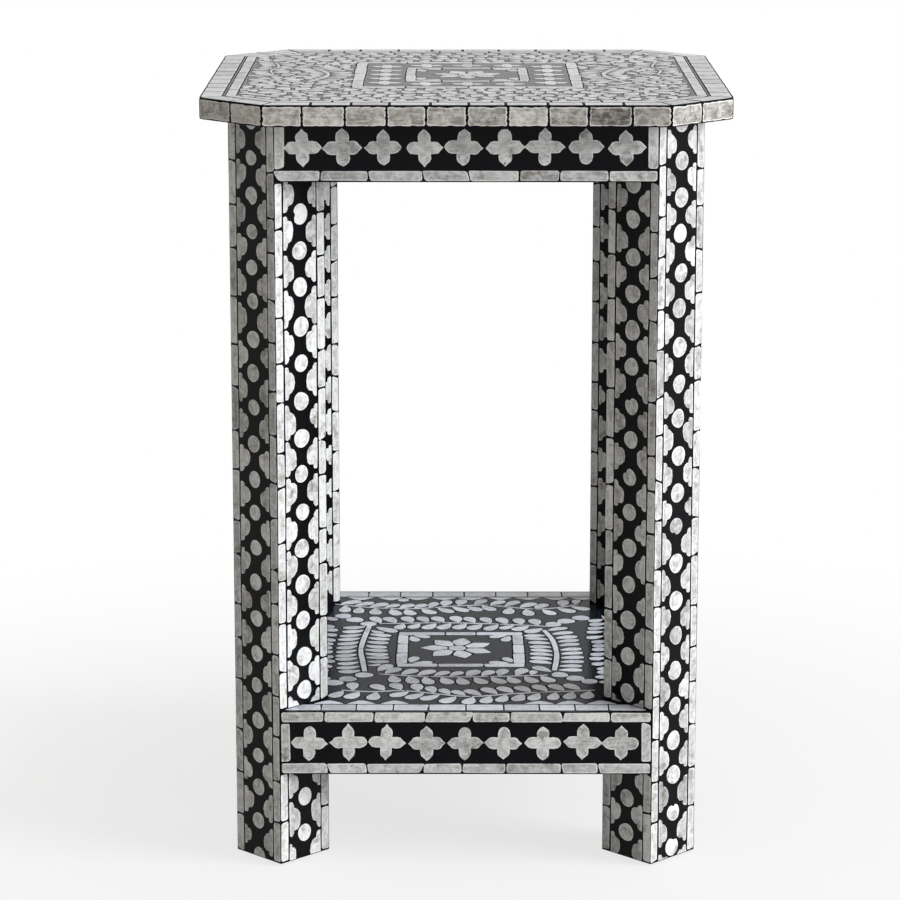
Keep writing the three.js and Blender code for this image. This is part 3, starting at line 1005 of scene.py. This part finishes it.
bed_inner = top_half - board_high[0] - 0.1 * mm
bed_top = top_height - plate_rise
bed_profile = [(bed_inner, board_high[2] + 0.02 * mm), (bed_inner, bed_bottom),
               (plate_rise + 0.3 * mm, bed_bottom), (plate_rise, bed_bottom + 0.3 * mm),
               (plate_rise, bed_top - 0.5 * mm), (plate_rise + 0.15 * mm, bed_top - 0.15 * mm),
               (plate_rise + 0.5 * mm, bed_top)]
bed_rings = np.stack([rounded(octagon(inset)[None], 4 * mm, 5)[0] for inset, _ in bed_profile])
bed_heights = np.array([height for _, height in bed_profile])[:, None, None]
bed_points = np.concatenate([bed_rings, np.broadcast_to(bed_heights, bed_rings[..., :1].shape)], 2)
bed = inlay_object("tabletop_resin_bed", [(bed_points[None], bed_rings[None] / grain_unit, np.zeros(1))],
                   top_resin)
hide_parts("tabletop_inlay", "tabletop_edge_tiles")

# %% [markdown]
# The edge of the top is a band of bone tiles, chipped along their rims. The tones of the two front corners
# are set against the light, so that each is as bright as in the photograph, and one dark tile sits near the
# right end of the front.

# %% Edge tiles of the tabletop
edge_plates, edge_glue = [], []
edge_corners = octagon(plate_rise)
side_tones = [0.2, 0.2, 0.2, 0.2, 0.2, -1.5, 0.2, 1.3]
front_side = 6
dark_tile = 3.0
edge_tile_length = 30.5 * mm
tile_low, tile_high = 0.7 * mm, bed_top - bed_bottom - 1.2 * mm
tile = np.array([(-0.5, -0.5), (0.5, -0.5), (0.5, 0.5), (-0.5, 0.5)])
for number, side_tone in enumerate(side_tones):
    start, end = edge_corners[number], edge_corners[(number + 1) % 8]
    half_side = np.linalg.norm(end - start) / 2
    face = Face(edge_plates, edge_glue, (*(start + end) / 2, bed_bottom), (*unit(end - start), 0), (0, 0, 1),
                0.5 * mm)
    place, length = row_pieces(-half_side + 0.1 * mm, half_side - 0.1 * mm, edge_tile_length, 0.05)
    sizes = pairs(length, tile_high - tile_low)[:, None]
    tones = np.full(len(place), side_tone)
    if number == front_side:
        tones[-2] = dark_tile
    at = pairs(place, (tile_low + tile_high) / 2)
    lay(face, slabs(tile * sizes, 1.2 * mm, 9, 0.9 * mm), at, tone=tones)
inlay_object("tabletop_edge_bone", edge_plates, edge_bone)
inlay_object("tabletop_edge_glue_lines", edge_glue, glue_line)

# %% [markdown]
# The top's pattern, from the rim inwards: a border of tiles, a narrow strip, vines all round, a frame, a ring
# of four-lobed flowers, a second frame, and a flower in the middle. The glue lines are a little wider in the
# outer border.

# %% Borders and frames of the tabletop
top, top_glue, rim_glue = [], [], []
top_place = ((0, 0, bed_top), (1, 0, 0), (0, 1, 0))
top_face = Face(top, top_glue, *top_place, 0.8 * mm)
rim_face = Face(top, rim_glue, *top_place, 1.0 * mm)
side_gaps = np.array([3.2, 2.4, 2.0, 2.4] * 2) * mm
tile_border, narrow_border = (1.1 * mm, 16.2 * mm), (19.2 * mm, 26.6 * mm)
border(rim_face, *map(octagon, tile_border), 29 * mm, side_gaps)
border(top_face, *map(octagon, narrow_border), 42 * mm, side_gaps * 0.8)
middle_y = 5
frame_strips(top_face, -88, 90, middle_y - 92, middle_y + 92, 8.2 * mm, 40 * mm)
frame_strips(top_face, -47, 49, middle_y - 50, middle_y + 50, 7.0 * mm, 36 * mm)
small_flowers = [(x, middle_y + y) for x in (-63.5, 65.5) for y in (-58, -29, 0, 29, 58)]
small_flowers += [(x, middle_y + y) for x in (-31.5, 1, 33.5) for y in (-66, 66)]
count = len(small_flowers)
lay(top_face, quatrefoils(about(12.6 * mm, 0.4 * mm, count), about(8.2 * mm, 0.4 * mm, count)),
    np.array(small_flowers) * mm, about(0, 0.05, count), drawn_in, tone=-1.2)
flower(top_face, (1, middle_y), 28 * mm, 14 * mm, 14 + 51.4 * np.arange(7), 6.6 * mm)
for x, inwards, side in ((-37, 0, 1), (39, 180, -1)):
    for end in (-1, 1):
        corner_leaves = inwards + side * end * np.array([-8, -82])
        leaf_at(top_face, [(x, middle_y + 40 * end)] * 2, corner_leaves, 15 * mm, 8.6 * mm)
print("plates on the top so far:", plate_count(top))

# %% [markdown]
# Between the frame and the rim, a wing of leaves and a vine stand on each side, with round flowers beside
# them and in the corners. Two vines run along the front and two along the back. Small leaves fill what is
# left, first larger ones and then smaller.

# %% Vines and wings of the tabletop
near_rim = [(-112, -146), (-70, -149), (-36, -144), (0, -148), (36, -144), (70, -149), (112, -146)]
inner_run = [(-98, -109), (-62, -112), (-30, -107), (6, -112), (44, -107), (98, -110)]
far_rim = [(112, 151), (70, 154), (36, 150), (0, 154), (-36, 150), (-70, 154), (-112, 151)]
outer_run = [(98, 117), (62, 120), (30, 115), (-6, 120), (-44, 115), (-98, 118)]
wing = [(123, -52), (113, -24), (109, 0), (113, 24), (123, 52)]
outer_vine = [(152, 2), (156, 30), (151, 58), (155, 90)]


def mirrored(guide, side):
    """A guide on the right of the top, or on its left when side is -1, measured from the pattern's middle."""
    return [(x * side, middle_y + y) for x, y in guide]


for side in (-1, 1):
    for end in (-1, 1):
        flower(top_face, (133 * side, middle_y + 116 * end), 27 * mm, 11.5 * mm, 20 + 45 * np.arange(8),
               6.4 * mm, leaves)
    flower(top_face, (148.5 * side, middle_y - 38), 22 * mm, 9.4 * mm, 10 + 40 * np.arange(9), 5.2 * mm,
           leaves)
    vine(top_face, mirrored(wing, side), stem_width=4.2 * mm, leaf_length=17 * mm, leaf_width=9 * mm,
         spacing=11 * mm, sides=(-side, side), lean=76)
    vine(top_face, mirrored(outer_vine, side), leaf_length=14.5 * mm, spacing=12 * mm)
for guide in (near_rim, inner_run, far_rim, outer_run):
    vine(top_face, guide, leaf_length=15.4 * mm)
frame_box = (-90 * mm, 92 * mm, (middle_y - 94) * mm, (middle_y + 94) * mm)
for length, width, pitch in ((15 * mm, 8.5 * mm, 8.5 * mm), (10 * mm, 6 * mm, 6.5 * mm)):
    print("filling leaves:", fill_in(top_face, frame_box, 168 * mm, length, width, pitch))
inlay_object("tabletop_bone", top, top_bone)
inlay_object("tabletop_glue_lines", top_glue + rim_glue, glue_line)

# %% [markdown]
# ## The shelf
# The shelf has the same kind of pattern, seen through the open bay. Tiled borders run along the four sides
# between the legs, each with a row of half leaves on its inner side, and a frame with a star flower and two
# leaves in each corner lies in the middle.

# %% Shelf borders, frame and flower
shelf, shelf_glue, border_glue = [], [], []
shelf_face = Face(shelf, shelf_glue, (0, 0, shelf_high[2]), (1, 0, 0), (0, 1, 0), 1.1 * mm)
border_depth = 14.5 * mm
border_level = 0.6 * mm - shelf_high[0] + border_depth / 2
border_half = leg_axis - leg_width / np.sqrt(2) + 32 * mm
for quarter in range(4):
    right, up = (towards(np.radians(90 * quarter + more)) for more in (0, 90))
    side_face = Face(shelf, border_glue, (0, 0, shelf_high[2]), (*right, 0), (*up, 0), 0.4 * mm)
    place, length = row_pieces(-border_half, border_half, 29.3 * mm, 0.05)
    tiles = bars(length, np.full(len(place), border_depth), slant=0.5 * mm)
    lay(side_face, tiles, pairs(place, border_level))
# The direction of the half leaves, how far their flat side is from the middle, and their places along it
half_leaf_rows = {
    180: (158.8, (-90, -64.5, -41, -18, 5, 30, 54, 79, 102)),
    0: (-159.4, (-106, -81, -55, 57, 81, 105)),
    90: (159.4, (-104, -79, -53, -27, 0, 26, 52, 78, 104)),
    270: (-159.4, (-104, -79, -53, -27, 0, 26, 52, 78, 104)),
}
for degrees, (off_middle, places) in half_leaf_rows.items():
    at = pairs(np.array(places), off_middle) * mm
    if degrees % 180:
        at = at[:, ::-1]
    length, depth = about(22 * mm, 1.0 * mm, len(at)), about(8.3 * mm, 0.6 * mm, len(at))
    lay(shelf_face, shaped(half_leaf_shares, length, depth), at, np.radians(degrees))
frame_strips(shelf_face, -55.5, 47.8, -56, 46.5, 8.4 * mm)
flower(shelf_face, (-6.5, -1.5), 30.5 * mm, 15.5 * mm, (80, 28, -25, -78, -130, 178, 127), 7.2 * mm)
frame_leaves = {(-45, 37): (-8, -82), (37, 37.5): (188, -98), (-45, -46): (8, 82), (38, -46): (172, 98)}
for root, degrees in frame_leaves.items():
    leaf_at(shelf_face, [root, root], degrees, 17 * mm, 9 * mm)
outside_leaves = {(-76.5, 64.5): (-42, 23.5), (66.5, 60.5): (222, 20), (-71.5, -71): (56, 23),
                  (70, -73): (130, 21)}
for root, (degrees, length) in outside_leaves.items():
    leaf_at(shelf_face, [root], degrees, length * mm, 11 * mm)
print("plates on the shelf so far:", plate_count(shelf))

# %% [markdown]
# Four vines cross the shelf from left to right. A rib with narrow bent leaves stands on each side of the
# frame, and the slope of its leaves changes a little along it. Rows of discs run to the corners, and one more
# vine follows the left and the right border.

# %% Shelf vines, ribs and discs
shelf_vines = [
    [(-112, 137), (-86, 127), (-63.5, 122), (-41, 122), (-21, 127), (-1, 132), (16.5, 133.5), (34, 128.5),
     (51.5, 122), (64, 121), (79, 125), (98, 136)],
    [(72, 65), (44, 70), (19, 73.5), (-6, 76), (-31, 76), (-73, 73.5)],
    [(-70, -77), (-31, -84), (6.5, -85), (66, -80)],
    [(102, -122), (81.5, -125), (56.5, -128), (31.5, -133), (9, -139), (-6, -138), (-31, -129), (-51, -123),
     (-73.5, -126.5), (-98, -122)],
]
shelf_discs = np.array([(-103, 98), (-93, 86), (-81, 73), (74, 72), (85, 82), (98, 92), (75, -79), (87, -89),
                        (98, -98), (-81, -80), (-93.5, -91), (-104, -101.5)]) * mm
lay(shelf_face, discs(about(7 * mm, 0.5 * mm, len(shelf_discs))), shelf_discs, inset=drawn_in)
lay(shelf_face, discs(np.array([5.0 * mm])), np.array([-53, 150]) * mm)
shelf_gap = 0.45 * mm
for guide in shelf_vines:
    vine(shelf_face, guide, stem_width=2.5 * mm, leaf_length=20.5 * mm, leaf_width=10.8 * mm,
         spacing=13.2 * mm, lean=70, gap=shelf_gap)
left_rib = [(-80, 68), (-83.5, 31), (-85.5, -6.5), (-83, -40), (-80.5, -70)]
right_rib = [(65.5, 54), (71.5, 27), (74, -2), (74, -30), (71, -67)]
rib_heights = np.array([-60, 0, 55]) * mm
# For each row of rib leaves: the rib, the side they are on, the lowest and highest root and the pitch, their
# directions in degrees at the three rib heights, and their bow
rib_rows = (
    (left_rib, -1, (-67, 67, 12.0), (194, 200, 197), 1.6),
    (left_rib, 1, (-53, 54, 11.8), (6, -12, -18), -1.2),
    (right_rib, -1, (-58, 38, 11.8), (158, 171, 169), -1.2),
    (right_rib, 1, (-66, 58, 11.8), (0, 16, 26), 0.8),
)
for guide in (left_rib, right_rib):
    stem(shelf_face, smooth_path(guide), 4.3 * mm, 75 * mm, end_share=0.9)
for guide, side, (low, high, pitch), directions, bow in rib_rows:
    y = np.arange(low, high, pitch) * mm
    y = y + rng.uniform(-0.5, 0.5, len(y)) * mm
    rib_x, rib_y = smooth_path(guide)[1][::-1].T
    turn = np.interp(y, rib_heights, directions) + rng.uniform(-4, 4, len(y))
    outline = lenses(about(19.0 * mm, 0.8 * mm, len(y)), about(8.9 * mm, 0.4 * mm, len(y)), bow * mm)
    at = pairs(np.interp(y, rib_y, rib_x) + side * 3.2 * mm, y)
    settle(shelf_face, outline, at, np.radians(turn), gap=shelf_gap)
wave = [(0, 100), (4, 72), (0, 40), (4, 6), (0, -34), (4, -68), (0, -98)]
for side, off_middle in ((-1, 121), (1, 116)):
    vine(shelf_face, [((off_middle + x) * side, y) for x, y in wave], leaf_length=15.4 * mm,
         leaf_width=9.4 * mm, spacing=13.2 * mm, gap=shelf_gap)
middle_box = (-127 * mm, 131 * mm, -170 * mm, 170 * mm)
filled = fill_in(shelf_face, middle_box, 150 * mm, 12.5 * mm, 7.2 * mm, 8.5 * mm)
print("filling leaves beside the vines:", filled)
inlay_object("shelf_bone", shelf, shelf_bone)
inlay_object("shelf_glue_lines", shelf_glue + border_glue, glue_line)

# %% [markdown]
# ## Studio
# The photograph has soft light from a large window far to the right: the leg faces turned right are nearly
# white, those turned left are dark, and the front is between. Everything around is white, so the polished
# top and shelf mirror white at a shallow angle. The world is therefore white to camera and gloss, and only
# weak to diffuse light.

# %% World and lamps
world = bpy.data.worlds.new("studio")
world.use_nodes = True
bpy.context.scene.world = world
graph = Graph(world.node_tree)
ray = graph.add("LightPath", None)
seen_directly = graph.math("MAXIMUM", ray["Is Camera Ray"], ray["Is Transmission Ray"])
seen_white = graph.math("MAXIMUM", seen_directly, ray["Is Glossy Ray"])
tint = graph.mix(seen_white, (0.249, 0.236, 0.207), (1.0, 1.0, 1.0))
graph.tree.links.new(tint, graph.tree.nodes["Background"].inputs["Color"])


def soft_lamp(name, place, aim, size, watts, shade):
    """A square area lamp at place, turned to face aim."""
    data = bpy.data.lights.new(name, "AREA")
    data.size = size
    data.energy = watts
    data.color = shade
    lamp = bpy.data.objects.new(name, data)
    lamp.location = place
    lamp.rotation_euler = (Vector(aim) - Vector(place)).to_track_quat("-Z", "Y").to_euler()
    bpy.context.scene.collection.objects.link(lamp)


soft_lamp("window", (6.2, -2.1, 2.4), (0, 0, 0.3), 3.4, 632, (0.93, 0.96, 1.0))
soft_lamp("ceiling", (0.3, -0.4, 3.4), (0, 0, 0.4), 2.5, 24, (1.0, 1.0, 1.0))

# %% [markdown]
# The stool stands on white paper that runs out of the picture. Camera and gloss see it as plain white, and
# three quarters white close to the legs, where the soft contact shadow of the real floor shows through.

# %% Floor
floor_mesh = bpy.data.meshes.new("floor")
floor_half = 6.0
floor_corners = [(x * floor_half, y * floor_half, 0) for x, y in ((-1, -1), (1, -1), (1, 1), (-1, 1))]
floor_mesh.from_pydata(floor_corners, [], [(0, 1, 2, 3)])
floor = bpy.data.objects.new("floor", floor_mesh)
bpy.context.scene.collection.objects.link(floor)
floor_finish, graph, surface = new_material("floor_white")
surface["Base Color"].default_value = (0.8, 0.8, 0.8, 1)
surface["Roughness"].default_value = 0.8
reach = graph.add("VectorMath", "Value", {"operation": "LENGTH"}, in0=graph.object_place())
ray = graph.add("LightPath", None)
seen = graph.math("MAXIMUM", ray["Is Camera Ray"], ray["Is Glossy Ray"])
white = graph.add("Emission", Color=(1, 1, 1, 1), Strength=1.0)
paper = graph.math("MULTIPLY_ADD", graph.ramp(reach, 0.25, 0.9), 0.25, 0.75, clamp=True)
real = graph.tree.nodes["Principled BSDF"].outputs[0]
cover = graph.add("MixShader", in0=graph.math("MULTIPLY", seen, paper), in1=real, in2=white)
graph.tree.links.new(cover, graph.tree.nodes["Material Output"].inputs["Surface"])
floor_mesh.materials.append(floor_finish)
print("floor of", tuple(round(v, 2) for v in floor.dimensions), "m")
